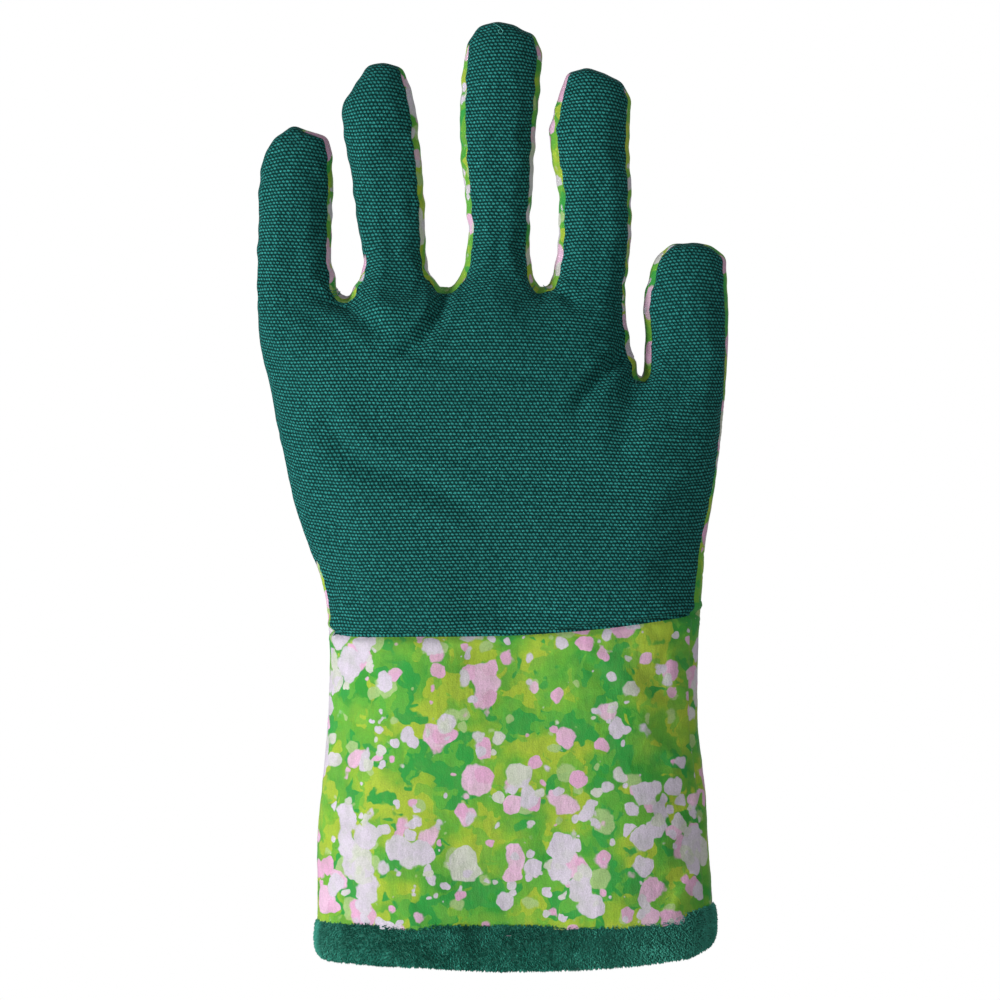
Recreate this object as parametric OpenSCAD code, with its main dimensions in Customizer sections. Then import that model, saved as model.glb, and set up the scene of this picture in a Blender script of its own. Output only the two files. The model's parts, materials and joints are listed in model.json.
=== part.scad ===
// Lined work glove for the right hand, with a plush-bound gauntlet cuff.
// The glove stands on its cuff: fingers point up (+Z), the palm faces -Y and the thumb is at +X.
// The origin is the centre of the cuff's mouth, where the hand goes in.
// Each cloth piece is divided at the wrist, the palm and the knuckles, where the glove bends.

/* [Cuff] */
// Half width of the cuff at its mouth
mouth_half_w = 58.5; // [50:0.5:70]
// Half width of the cuff where the palm begins
wrist_half_w = 54.5; // [46:0.5:62]
// Half depth of the cuff, front to back
cuff_half_d = 14.5; // [13:0.5:20]
// Height of the plush hem band
hem_h = 12.8; // [8:0.2:18]
// Height of the seam between the cuff and the palm canvas
wrist_z = 99; // [85:1:110]

/* [Palm] */
// Left edge of the palm at the height of the thumb's crotch
palm_left = -75; // [-80:0.5:-70]
// Right edge of the palm just above the thumb's crotch
palm_right = 36; // [34:0.5:40]
// Half depth of the palm, front to back
palm_half_d = 16; // [15:0.5:20]
// Height of the crotch between the thumb and the index finger
thumb_crotch_z = 172; // [168:0.5:178]
// Height of the crotches between the fingers
finger_crotch_z = 200.5; // [198:0.5:204]

/* [Fingers] */
// Half depth of a finger, front to back
finger_half_d = 8.2; // [7.5:0.1:10]
// Height of the little finger's tip
little_tip_z = 247.5; // [240:0.5:256]
// Height of the ring finger's tip
ring_tip_z = 266.5; // [258:0.5:276]
// Height of the middle finger's tip
middle_tip_z = 279; // [270:0.5:290]
// Height of the index finger's tip
index_tip_z = 265; // [256:0.5:274]
// Height of the thumb's tip
thumb_tip_z = 213.5; // [208:0.5:222]

/* [Cloth] */
// Thickness of the outer cloth
outer_t = 1.0; // [0.8:0.1:1.4]
// Thickness of the lining
lining_t = 1.4; // [1:0.1:2]
// Thickness of the plush hem band
hem_t = 3.4; // [2.5:0.1:4.5]

/* [Knuckles] */
// Largest bend of each knuckle, in degrees
knuckle_bend = 80; // [60:5:80]
// Slope of the thumb's bend line, in degrees
thumb_slope = 20; // [10:1:25]

/* [Hidden] */
// Clearance between two bodies at a knuckle.
knuckle_gap = 0.4;
// Clearance between the palm cloth and the back cloth along the side seams.
seam_gap = 0.3;
// Clearance between the outer cloth and the lining.
lining_gap = 0.15;
// Depth of the knuckles' axes in front of the middle plane.
axis_y = -1.5;
// Slope of the notch on the palm side of a knuckle, so that it can close.
notch = tan(knuckle_bend / 2 + 1);
// Squareness of the big sections and of the digits: 2 is an ellipse.
body_power = 2.5;
digit_power = 2.2;
// Bluntness of the fingertips.
tip_power = 2.5;
// Half depth left between two lobes, where the front and back are sewn together, and how fast
// it falls with each layer's inset.
web_d = 1.8;
web_fall = 0.6;

teal = "#146b60";
leaf = "#6fae38";
plush = "#1f6b57";
cream = "#dfe6dc";

// A digit is [root x, root z, tip x, tip z, half width at the root, in the middle, near the tip,
//             height of the root knuckle, height of the middle knuckle, slope of its bend lines].
little = [-65.2, finger_crotch_z, -63.2, little_tip_z, 10.8, 10.9, 10.9,
          finger_crotch_z, 223, 0];
ring = [-34.6, finger_crotch_z, -39.6, ring_tip_z, 10.6, 10.2, 11.0,
        finger_crotch_z, 232, 0];
middle = [-5.2, finger_crotch_z, -4.6, middle_tip_z, 10.2, 9.6, 11.5,
          finger_crotch_z, 238, 0];
index = [22.3, finger_crotch_z, 22.2, index_tip_z, 10.7, 10.9, 11.4,
         finger_crotch_z, 231, 0];
thumb_x = 49.6;
thumb_root_z = thumb_crotch_z - (thumb_x - palm_right) * tan(thumb_slope);
thumb = [thumb_x, thumb_root_z, thumb_x + 1.1, thumb_tip_z, 12.3, 12.3, 12.0,
         thumb_root_z, 191, thumb_slope];

FRONT = -1;
BACK = 1;
ARC_STEPS = 9;
WIDE_STEPS = 20;

// ---- Numbers ----

function mix(a, b, t) = a + (b - a) * t;
function ease(t) = let (c = min(1, max(0, t))) c * c * (3 - 2 * c);
// Cosine and sine of a superellipse, for rounded sections.
function super_cos(a, power) = sign(cos(a)) * pow(abs(cos(a)), 2 / power);
function super_sin(a, power) = pow(max(0, sin(a)), 2 / power);

// ---- Solids lofted through loops of points ----

function flipped(list) = [for (i = [len(list) - 1:-1:0]) list[i]];

// Two triangles between neighbouring points a, b of one loop and c, d of the next, for loops
// that run anticlockwise seen from above.
function quad(a, b, c, d) = [[a, d, b], [a, c, d]];
// The same, divided along the other diagonal, so that the inside of a shell nests on a tube.
function cross_quad(a, b, c, d) = [[a, c, b], [b, c, d]];

// A half shell: each row is an outer arc then an inner arc, both left to right.
// A loop runs along one arc and back along the other.
module half_shell(rows, side) {
    n = len(rows[0][0]);
    m = 2 * n;
    loops = [
        for (r = rows)
            side == FRONT ? concat(r[0], flipped(r[1])) : concat(flipped(r[0]), r[1])
    ];
    skin = [
        for (k = [0:len(rows) - 2], i = [0:m - 1])
            each cross_quad(k * m + i, k * m + (i + 1) % m, (k + 1) * m + i, (k + 1) * m + (i + 1) % m)
    ];
    low = [for (i = [0:n - 2]) each quad(i, m - 1 - i, i + 1, m - 2 - i)];
    top_0 = (len(rows) - 1) * m;
    high = [
        for (i = [0:n - 2])
            each quad(top_0 + i, top_0 + i + 1, top_0 + m - 1 - i, top_0 + m - 2 - i)
    ];
    polyhedron([for (l = loops) each l], concat(skin, low, high), convexity = 6);
}

// A tube with an outer and an inner wall; closed adds an end over the last rows.
module tube(outer, inner, closed) {
    m = len(outer[0]);
    rows = len(outer);
    first_inner = rows * m;
    wall = [
        for (k = [0:rows - 2], i = [0:m - 1])
            each quad(k * m + i, k * m + (i + 1) % m, (k + 1) * m + i, (k + 1) * m + (i + 1) % m)
    ];
    bore = [for (f = wall) [f[0] + first_inner, f[2] + first_inner, f[1] + first_inner]];
    rim = [
        for (i = [0:m - 1])
            each quad(first_inner + i, first_inner + (i + 1) % m, i, (i + 1) % m)
    ];
    top = (rows - 1) * m;
    ends = closed
        ? [
            [for (i = [m - 1:-1:0]) top + i],
            [for (i = [0:m - 1]) first_inner + top + i]
        ]
        : [
            for (i = [0:m - 1])
                each quad(top + i, top + (i + 1) % m, first_inner + top + i, first_inner + top + (i + 1) % m)
        ];
    polyhedron(concat([for (r = outer) each r], [for (r = inner) each r]),
               concat(wall, bore, rim, ends), convexity = 6);
}

// ---- Digits ----

// A station of a digit is [x, z, half width, half depth, slope].
function digit_x(g, z) = mix(g[0], g[2], (z - g[1]) / (g[3] - g[1]));
function tip_start(g) = g[3] - 0.72 * g[6];
function digit_half_w(g, z) =
    let (t = (z - g[1]) / (tip_start(g) - g[1]))
    t < 0.5 ? mix(g[4], g[5], ease(2 * t)) : mix(g[5], g[6], ease(2 * t - 1));
// How far the tip has closed: 1 is open, 0 is the end of the tip.
function tip_open(g, z) =
    let (t = max(0, (z - tip_start(g)) / (g[3] - tip_start(g))))
    pow(max(0, 1 - pow(min(1, t), tip_power)), 1 / tip_power);

// The bend lines' slope fades out towards the tip.
function digit_slope(g, z) = g[9] * (1 - ease((z - g[8]) / (g[3] - g[8])));

function station(g, z, inset) =
    let (open = max(0.06, tip_open(g, z)))
    let (half_w = digit_half_w(g, z))
    let (depth = finger_half_d * half_w / g[4])
    [digit_x(g, z), z, max(0.35, half_w * open - inset), max(0.3, depth * open - inset), digit_slope(g, z)];

// How far a cut face is cut back in front of the knuckle's axis, so that the knuckle can close.
function notch_depth(y) = max(0, axis_y - y) * notch;
function cut_lift(y) = knuckle_gap / 2 + notch_depth(y);

// The point of a station at angle a; cut is 1 on a lower cut face, -1 on an upper one, 0 between.
function station_point(s, a, side, cut) =
    let (across = s[2] * super_cos(a, digit_power))
    let (y = side * (s[3] * super_sin(a, digit_power)))
    [
        s[0] + across * cos(s[4]),
        abs(y) < seam_gap / 2 ? side * seam_gap / 2 : y,
        s[1] - across * sin(s[4]) + cut * cut_lift(y)
    ];

// Heights of the rows of a segment; the tip has extra rows, closer together.
function segment_heights(g, upper) =
    upper
        ? let (straight = tip_start(g))
          concat(
              [for (t = [0:0.34:0.99]) mix(g[8], straight, t)],
              [for (t = [0, 0.4, 0.68, 0.86, 0.96, 1]) mix(straight, g[3], t)]
          )
        : [for (t = [0, 0.34, 0.66, 1]) mix(g[7], g[8], t)];

// Which face a row lies on: the lower cut, the upper cut, or neither.
function row_cut(k, last, upper) = k == 0 ? 1 : (k == last && !upper) ? -1 : 0;

function segment_rows(g, upper, inset, side, arc) =
    let (heights = segment_heights(g, upper), last = len(heights) - 1)
    [
        for (k = [0:last])
            let (sunk = upper ? inset * ease((heights[k] - g[8]) / (g[3] - g[8])) : 0)
            [
                for (a = arc)
                    let (s = station(g, heights[k], inset))
                    station_point([s[0], s[1] - sunk, s[2], s[3], s[4]], a, side(a), row_cut(k, last, upper))
            ]
    ];

function half_arc() = [for (i = [0:ARC_STEPS]) 180 - 180 * i / ARC_STEPS];
function whole_arc() = [for (i = [0:2 * ARC_STEPS - 3]) 360 * i / (2 * ARC_STEPS - 2)];

module segment_shell(g, upper, side) {
    outer = segment_rows(g, upper, 0, function(a) side, half_arc());
    inner = segment_rows(g, upper, outer_t, function(a) side, half_arc());
    half_shell([for (k = [0:len(outer) - 1]) [outer[k], inner[k]]], side);
}

// The lining is a closed loop, so its points go round both sides.
function loop_rows(g, upper, inset) =
    let (heights = segment_heights(g, upper), last = len(heights) - 1)
    [
        for (k = [0:last])
            let (sunk = upper ? inset * ease((heights[k] - g[8]) / (g[3] - g[8])) : 0)
            let (s = station(g, heights[k], inset))
            [
                for (a = whole_arc())
                    let (across = s[2] * super_cos(a, digit_power))
                    let (y = sign(sin(a)) * s[3] * super_sin(abs_angle(a), digit_power))
                    [
                        s[0] + across * cos(s[4]),
                        y,
                        s[1] - sunk - across * sin(s[4]) + row_cut(k, last, upper) * cut_lift(y)
                    ]
            ]
    ];
function abs_angle(a) = a > 180 ? 360 - a : a;

module segment_lining(g, upper) {
    tube(loop_rows(g, upper, outer_t + lining_gap),
         loop_rows(g, upper, outer_t + lining_gap + lining_t), upper);
}

// ---- Cuff, heel and palm: sections made of lobes side by side ----

// A lobe is [left x, right x, half depth].
// The steps of a row are pairs [lobe number, angle], from the left edge to the right one.
function lobe_steps(counts) = [
    for (j = [0:len(counts) - 1], i = [0:counts[j]])
        [j, 180 - 180 * i / counts[j]]
];

// A point of a section: x and depth, with the cloth's own inset.
function lobe_point(lobes, step, inset) =
    let (l = lobes[step[0]])
    let (centre = (l[0] + l[1]) / 2, half_w = (l[1] - l[0]) / 2 - inset)
    [
        centre + half_w * super_cos(step[1], digit_power),
        max(web_d - web_fall * inset, (l[2] - inset) * super_sin(step[1], digit_power))
    ];

// The same point on one wide section, which the lobes blend into.
function wide_point(lobes, wide, step, inset) =
    let (first = lobes[0][0], last = lobes[len(lobes) - 1][1])
    let (u = 2 * (lobe_point(lobes, step, 0)[0] - first) / (last - first) - 1)
    let (centre = (wide[0] + wide[1]) / 2, half_w = (wide[1] - wide[0]) / 2 - inset)
    [
        centre + half_w * u,
        (wide[2] - inset) * pow(max(0, 1 - pow(abs(u), body_power)), 1 / body_power)
    ];

// A row is [z, share of lobes, lobes, wide section, drop on the thumb's side,
//           number of the first lobe that is notched for a knuckle].
NO_KNUCKLE = 99;
function row_point(row, step, inset, side) =
    let (p = mix(wide_point(row[2], row[3], step, inset), lobe_point(row[2], step, inset), row[1]))
    let (drop = row[4] * max(0, p[0] - palm_right) * tan(thumb_slope))
    let (closing = step[0] >= row[5] ? notch_depth(side * p[1]) : 0)
    [p[0], side * max(seam_gap / 2, p[1]), row[0] - drop - closing];

function row_arc(row, steps, inset, side) = [for (s = steps) row_point(row, s, inset, side)];

module panel(rows, counts, side) {
    steps = lobe_steps(counts);
    half_shell(
        [for (r = rows) [row_arc(r, steps, 0, side), row_arc(r, steps, outer_t, side)]], side
    );
}

// A closed loop round both sides: over the back from right to left, then over the front.
function row_loop(row, steps, inset) =
    let (count = len(steps))
    concat(
        [for (i = [count - 1:-1:0]) row_point(row, steps[i], inset, BACK)],
        [for (i = [0:count - 1]) row_point(row, steps[i], inset, FRONT)]
    );

module panel_lining(rows, counts) {
    steps = lobe_steps(counts);
    inset = outer_t + lining_gap;
    tube([for (r = rows) row_loop(r, steps, inset)],
         [for (r = rows) row_loop(r, steps, inset + lining_t)], false);
}

// The cuff widens towards its mouth, and is a little fuller on the thumb's side.
function cuff_section(z) =
    let (t = ease(1 - z / wrist_z), half_w = mix(wrist_half_w, mouth_half_w, t))
    [-half_w, half_w + 0.5, cuff_half_d];
function cuff_row(z) = let (c = cuff_section(z)) [z, 0, [c], c, 0, NO_KNUCKLE];
cuff_rows = [for (t = [0:0.25:1]) cuff_row(mix(hem_h + 0.2, wrist_z - 0.2, t))];
hem_rows = [for (t = [0:0.5:1]) cuff_row(mix(0, hem_h, t))];
wide_counts = [WIDE_STEPS];

// The heel runs from the wrist to the thumb's crotch, where it parts in two lobes.
heel_lobes = [
    [palm_left, palm_right - 0.3, palm_half_d - 1.5],
    [thumb[0] - thumb[4], thumb[0] + thumb[4], finger_half_d]
];
function heel_wide(t) = [
    mix(-wrist_half_w, palm_left, pow(t, 0.9)),
    mix(wrist_half_w + 0.5, thumb[0] + thumb[4], pow(t, 1.3)),
    mix(cuff_half_d, palm_half_d, ease(2 * t))
];
heel_top_z = thumb_crotch_z - knuckle_gap / 2;
heel_rows = [
    for (t = [0, 0.2, 0.4, 0.6, 0.8, 1])
        let (parted = ease(2 * t - 1))
        [mix(wrist_z, heel_top_z, t), parted, heel_lobes, heel_wide(t), parted, t == 1 ? 1 : NO_KNUCKLE]
];
heel_counts = [18, 9];

// The palm runs from the thumb's crotch to the fingers, where it parts in four lobes.
palm_lobes = [
    for (g = [little, ring, middle, index])
        [g[0] - g[4], g[0] + g[4], finger_half_d]
];
function palm_wide(t) = [
    mix(palm_left, little[0] - little[4], t),
    mix(palm_right - 0.3, index[0] + index[4], t),
    mix(palm_half_d - 1.5, finger_half_d + 2, t)
];
palm_top_z = finger_crotch_z - knuckle_gap / 2;
palm_rows = [
    for (t = [0, 0.25, 0.5, 0.75, 1])
        [mix(thumb_crotch_z, palm_top_z, t), ease(t), palm_lobes, palm_wide(t), 0, t == 1 ? 0 : NO_KNUCKLE]
];
palm_counts = [8, 7, 7, 8];

module hem_band() {
    steps = lobe_steps(wide_counts);
    color(plush) tube([for (r = hem_rows) row_loop(r, steps, -0.8)],
                      [for (r = hem_rows) row_loop(r, steps, hem_t - 0.8)], false);
}
module cuff_front() { color(leaf) panel(cuff_rows, wide_counts, FRONT); }
module cuff_back() { color(leaf) panel(cuff_rows, wide_counts, BACK); }
module cuff_lining() { color(cream) panel_lining(cuff_rows, wide_counts); }
module heel_canvas() { color(teal) panel(heel_rows, heel_counts, FRONT); }
module heel_print() { color(leaf) panel(heel_rows, heel_counts, BACK); }
module heel_lining() { color(cream) panel_lining(heel_rows, heel_counts); }
module palm_canvas() { color(teal) panel(palm_rows, palm_counts, FRONT); }
module palm_print() { color(leaf) panel(palm_rows, palm_counts, BACK); }
module palm_lining() { color(cream) panel_lining(palm_rows, palm_counts); }

// One part of a digit: its palm-side canvas, its printed back, or its lining.
module digit_canvas(g, upper) { color(teal) segment_shell(g, upper, FRONT); }
module digit_print(g, upper) { color(leaf) segment_shell(g, upper, BACK); }
module digit_lining(g, upper) { color(cream) segment_lining(g, upper); }

hem_band();
cuff_front();
cuff_back();
cuff_lining();
heel_canvas();
heel_print();
heel_lining();
palm_canvas();
palm_print();
palm_lining();
digit_canvas(little, false);  // little_lower_canvas
digit_print(little, false);  // little_lower_print
digit_lining(little, false);  // little_lower_lining
digit_canvas(little, true);  // little_upper_canvas
digit_print(little, true);  // little_upper_print
digit_lining(little, true);  // little_upper_lining
digit_canvas(ring, false);  // ring_lower_canvas
digit_print(ring, false);  // ring_lower_print
digit_lining(ring, false);  // ring_lower_lining
digit_canvas(ring, true);  // ring_upper_canvas
digit_print(ring, true);  // ring_upper_print
digit_lining(ring, true);  // ring_upper_lining
digit_canvas(middle, false);  // middle_lower_canvas
digit_print(middle, false);  // middle_lower_print
digit_lining(middle, false);  // middle_lower_lining
digit_canvas(middle, true);  // middle_upper_canvas
digit_print(middle, true);  // middle_upper_print
digit_lining(middle, true);  // middle_upper_lining
digit_canvas(index, false);  // index_lower_canvas
digit_print(index, false);  // index_lower_print
digit_lining(index, false);  // index_lower_lining
digit_canvas(index, true);  // index_upper_canvas
digit_print(index, true);  // index_upper_print
digit_lining(index, true);  // index_upper_lining
digit_canvas(thumb, false);  // thumb_lower_canvas
digit_print(thumb, false);  // thumb_lower_print
digit_lining(thumb, false);  // thumb_lower_lining
digit_canvas(thumb, true);  // thumb_upper_canvas
digit_print(thumb, true);  // thumb_upper_print
digit_lining(thumb, true);  // thumb_upper_lining
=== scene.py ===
"""A lined right-hand work glove: canvas palm, printed velour back and cuff, plush hem band."""

import json
import math

import bpy
import numpy as np
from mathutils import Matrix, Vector
from mathutils.geometry import delaunay_2d_cdt
from mathutils.kdtree import KDTree


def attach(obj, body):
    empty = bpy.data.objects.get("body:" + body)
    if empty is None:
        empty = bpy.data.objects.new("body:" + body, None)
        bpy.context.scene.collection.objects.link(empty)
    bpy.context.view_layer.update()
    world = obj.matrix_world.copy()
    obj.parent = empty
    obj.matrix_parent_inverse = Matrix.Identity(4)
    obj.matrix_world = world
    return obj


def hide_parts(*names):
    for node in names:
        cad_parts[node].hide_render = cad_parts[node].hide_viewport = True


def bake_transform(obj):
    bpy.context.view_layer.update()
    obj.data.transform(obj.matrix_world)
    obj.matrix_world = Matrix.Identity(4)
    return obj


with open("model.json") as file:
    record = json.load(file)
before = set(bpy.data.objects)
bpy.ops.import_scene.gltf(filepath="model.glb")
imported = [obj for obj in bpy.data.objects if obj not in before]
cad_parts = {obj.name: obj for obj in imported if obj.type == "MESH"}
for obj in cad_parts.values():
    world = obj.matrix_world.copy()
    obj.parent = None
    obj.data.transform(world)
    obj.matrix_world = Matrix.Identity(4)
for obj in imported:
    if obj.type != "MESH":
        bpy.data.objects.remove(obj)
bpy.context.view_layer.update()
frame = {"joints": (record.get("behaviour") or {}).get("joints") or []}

MM = 0.001
DIGITS = ["little", "ring", "middle", "index", "thumb"]

# ---- The glove's outline ----
# Each point is (across, up) and, where print shows beside the canvas, the width of that strip, in
# millimetres from the centre of the cuff's mouth. The outline runs up the little finger's side of
# the glove, round every digit, and down the thumb's side.
LITTLE_SIDE = [
    (-58.5, 11, 0.4), (-58.5, 26, 0.4), (-58.5, 39, 0.4), (-56.5, 60, 0.4), (-55.2, 78, 0.5),
    (-55.0, 97, 0.6), (-56.8, 113, 0.5), (-61, 126, 0.4), (-65, 138), (-68, 150), (-70.6, 161),
    (-72.4, 171), (-75, 182), (-76.2, 200),
]
LITTLE_FINGER = [
    (-76.2, 209), (-75.8, 222), (-75.7, 231), (-74.6, 237.5), (-72.6, 242.3), (-69.4, 245.8),
    (-65.2, 247.7), (-60.6, 246.5, 0.6), (-56.2, 244.9, 0.8), (-54.5, 242.2, 1.0),
    (-53.9, 236, 1.0), (-53.8, 226, 1.0), (-54.3, 212, 0.9), (-53.6, 203.5, 1.1),
    (-52.4, 199.9, 1.3),
]
RING_FINGER = [
    (-50.3, 198.0, 1.4), (-47.8, 199.6, 1.1), (-45.6, 203.5, 0.8), (-45.2, 211, 0.4),
    (-46.9, 220), (-48.3, 232), (-50.5, 244), (-51.3, 252.6), (-49.8, 256.5), (-46.6, 261.3),
    (-43.9, 265.2), (-39.2, 266.6), (-34.6, 265.5, 0.4), (-32.2, 262.4, 1.0), (-29.8, 255, 1.25),
    (-28.4, 244, 1.3), (-27.1, 230, 1.2), (-26.6, 218, 1.1), (-26.2, 208.5, 1.1),
    (-24.8, 203.5, 1.3), (-22.6, 200.9, 1.5),
]
MIDDLE_FINGER = [
    (-20.4, 200.5, 1.6), (-18.6, 200.9, 1.5), (-16.4, 203.6, 1.3), (-15.0, 208.5, 1.1),
    (-14.1, 216, 1.0), (-14.9, 226, 1.1), (-16.3, 239, 1.3), (-16.5, 254, 1.1), (-15.6, 265, 0.8),
    (-14.2, 272.2, 0.4), (-11.2, 276.6), (-6.7, 278.7), (-2.7, 278.2), (1.6, 276.6),
    (5.3, 274.6, 0.4), (7.5, 270.3, 1.0), (7.4, 262, 1.1), (5.9, 246, 0.9), (5.0, 230, 0.7),
    (4.1, 217, 0.7), (4.6, 207, 1.0), (5.6, 202.3, 1.3),
]
INDEX_FINGER = [
    (7.8, 200.1, 1.6), (10.2, 202.3, 1.5), (11.5, 207, 1.3), (12.4, 216, 1.2), (12.3, 229, 1.3),
    (10.4, 238.5, 1.6), (9.8, 246.5, 1.6), (11.0, 252, 1.3), (13.2, 258.6, 0.8),
    (15.6, 263.6, 0.4), (20, 264.9), (26.5, 263.3), (31.6, 260.2, 0.4), (33.8, 255, 0.7),
    (33.4, 244, 0.8), (34.1, 226, 0.8), (33.7, 211, 0.7), (32.2, 200, 0.7), (32.3, 190, 0.9),
    (34, 182.5, 1.1), (35.4, 177, 1.4),
]
THUMB = [
    (36.7, 173.9, 1.7), (37.8, 178, 1.4), (38.1, 186, 1.2), (37.5, 195.5, 1.2),
    (38.8, 202.5, 1.3), (41.2, 209, 0.9), (44.8, 212.6, 0.5), (51.2, 213.5, 0.4),
    (57.6, 212.7, 0.5), (61.4, 209.2, 0.7), (62.3, 200, 0.8), (62.6, 188, 0.7), (62, 174, 0.6),
]
THUMB_SIDE = [
    (60.8, 162, 0.6), (59.3, 150, 0.6), (57.6, 138, 0.8), (55.7, 126, 1.1), (55.0, 114, 1.7),
    (54.2, 102, 2.2), (53.7, 90, 2.2), (53.8, 70, 2.2), (54.9, 61, 2.1), (56.1, 50, 2.1),
    (56.6, 39, 2.1), (57.6, 26, 2.2), (58.1, 17, 2.2), (58.2, 11, 2.2),
]
# The strip's width where none is given: so little print is turned in and doesn't show.
HIDDEN_STRIP = 0.35
ROUND_THE_GLOVE = (
    LITTLE_SIDE + LITTLE_FINGER + RING_FINGER + MIDDLE_FINGER + INDEX_FINGER + THUMB + THUMB_SIDE
)
OUTLINE = [(*point, HIDDEN_STRIP)[:3] for point in ROUND_THE_GLOVE]
# The seam between the canvas and the printed cuff, from the little finger's side.
WRIST_SEAM = [
    (-62, 101.5), (-55, 98.9), (-51, 98.0), (-30, 97.9), (0, 98.4), (25, 100.2), (45, 102.8),
    (62, 105.5),
]
# Points lie in a row on the wrist seam and in one this far above and below it.
SEAM_ROW = 0.8

# How the stitches draw the edge in and out, as waves: depth and length in millimetres, start.
PUCKERS = [(0.13, 5.7, 0.4), (0.12, 8.3, 2.1), (0.10, 13.1, 1.0)]
# The waves reach their full depth 10 mm above this height, and have a quarter of it below.
PUCKERED_FROM = 188.0

# Distance between the points on the outline, and between those in the middle of a sheet.
POINT_STEP = 1.5
GRID_STEP = 2.5
# How far the cloth swells on each side at a point on the middle finger, in millimetres.
FINGER_DEPTH = 8.2
DEPTH_MEASURED_AT = (-5, 235)
# Distance from the outline over which the cloth comes to its full depth.
FULLNESS_REACH = 15.0
# A strip of print narrower than this is turned in and doesn't show, in millimetres.
SHOWING_STRIP = 0.45
# The cloth settles over so many frames, and none of its points moves further, in millimetres.
CLOTH_FRAMES = 20
MOST_TRAVEL = 2.2


def distance_along(points):
    """Distance walked from the first point of a path to each of its points."""
    return np.concatenate([[0], np.cumsum(np.linalg.norm(np.diff(points, axis=0), axis=1))])


def resampled(at, along, points):
    """The values of a path's points at other distances along it."""
    return np.stack([np.interp(at, along, column) for column in points.T], axis=1)


def smooth_path(points, step):
    """A path with evenly spaced points on a centripetal curve through the given ones."""
    p = np.array(points, float)
    p = np.vstack([2 * p[0] - p[1], p, 2 * p[-1] - p[-2]])
    fine = []
    for a, b, c, d in zip(p[:-3], p[1:-2], p[2:-1], p[3:]):
        t1 = max(np.linalg.norm((b - a)[:2]) ** 0.5, 1e-6)
        t2 = t1 + max(np.linalg.norm((c - b)[:2]) ** 0.5, 1e-6)
        t3 = t2 + max(np.linalg.norm((d - c)[:2]) ** 0.5, 1e-6)
        for t in np.linspace(t1, t2, 24, endpoint=False):
            ab = a * (t1 - t) / t1 + b * t / t1
            bc = b * (t2 - t) / (t2 - t1) + c * (t - t1) / (t2 - t1)
            cd = c * (t3 - t) / (t3 - t2) + d * (t - t2) / (t3 - t2)
            abc = ab * (t2 - t) / t2 + bc * t / t2
            bcd = bc * (t3 - t) / (t3 - t1) + cd * (t - t1) / (t3 - t1)
            fine.append(abc * (t2 - t) / (t2 - t1) + bcd * (t - t1) / (t2 - t1))
    fine.append(p[-2])
    fine = np.array(fine)
    along = distance_along(fine[:, :2])
    count = max(2, int(round(along[-1] / step)) + 1)
    return resampled(np.linspace(0, along[-1], count), along, fine)


def inward(path):
    """Unit vectors across the path, towards the cloth: the outline is walked clockwise."""
    run = np.gradient(path[:, :2], axis=0)
    run /= np.linalg.norm(run, axis=1)[:, None]
    across = np.stack([run[:, 1], -run[:, 0]], axis=1)
    across[0] = (1, 0)
    across[-1] = (-1, 0)
    return across


def strip_widths(path):
    return np.maximum(path[:, 2], HIDDEN_STRIP)


def puckered(path):
    """The outline, drawn in and out a little by its stitches."""
    along = np.arange(len(path)) * POINT_STEP
    pull = sum(depth * np.sin(2 * np.pi * along / long + start) for depth, long, start in PUCKERS)
    pull *= np.clip((path[:, 1] - PUCKERED_FROM) / 10, 0.25, 1)
    return np.column_stack([path[:, :2] + inward(path) * pull[:, None], path[:, 2]])


def grid_points(low, high, step):
    """Points of a grid of equal triangles."""
    rows = []
    for k, up in enumerate(np.arange(low[1], high[1], step * 0.866)):
        across = np.arange(low[0] + (k % 2) * step / 2, high[0], step)
        rows.append(np.stack([across, np.full(len(across), up)], axis=1))
    return np.vstack(rows)


def nearest_on_path(points, path):
    """Distance of each point to the path, and the path's point nearest to it."""
    tree = KDTree(len(path))
    for number, place in enumerate(path):
        tree.insert((place[0], place[1], 0), number)
    tree.balance()
    found = [tree.find((x, z, 0)) for x, z in points]
    return np.array([f[2] for f in found]), np.array([f[1] for f in found])


def inside_outline(points, path):
    """Whether each point is inside the closed outline, by counting crossings."""
    x, z = points[:, 0], points[:, 1]
    inside = np.zeros(len(points), bool)
    ends = np.vstack([path[1:, :2], path[:1, :2]])
    for (ax, az), (bx, bz) in zip(path[:, :2], ends):
        if az == bz:
            continue
        crossed = ((az > z) != (bz > z)) & (x < (bx - ax) * (z - az) / (bz - az) + ax)
        inside ^= crossed
    return inside


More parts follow.
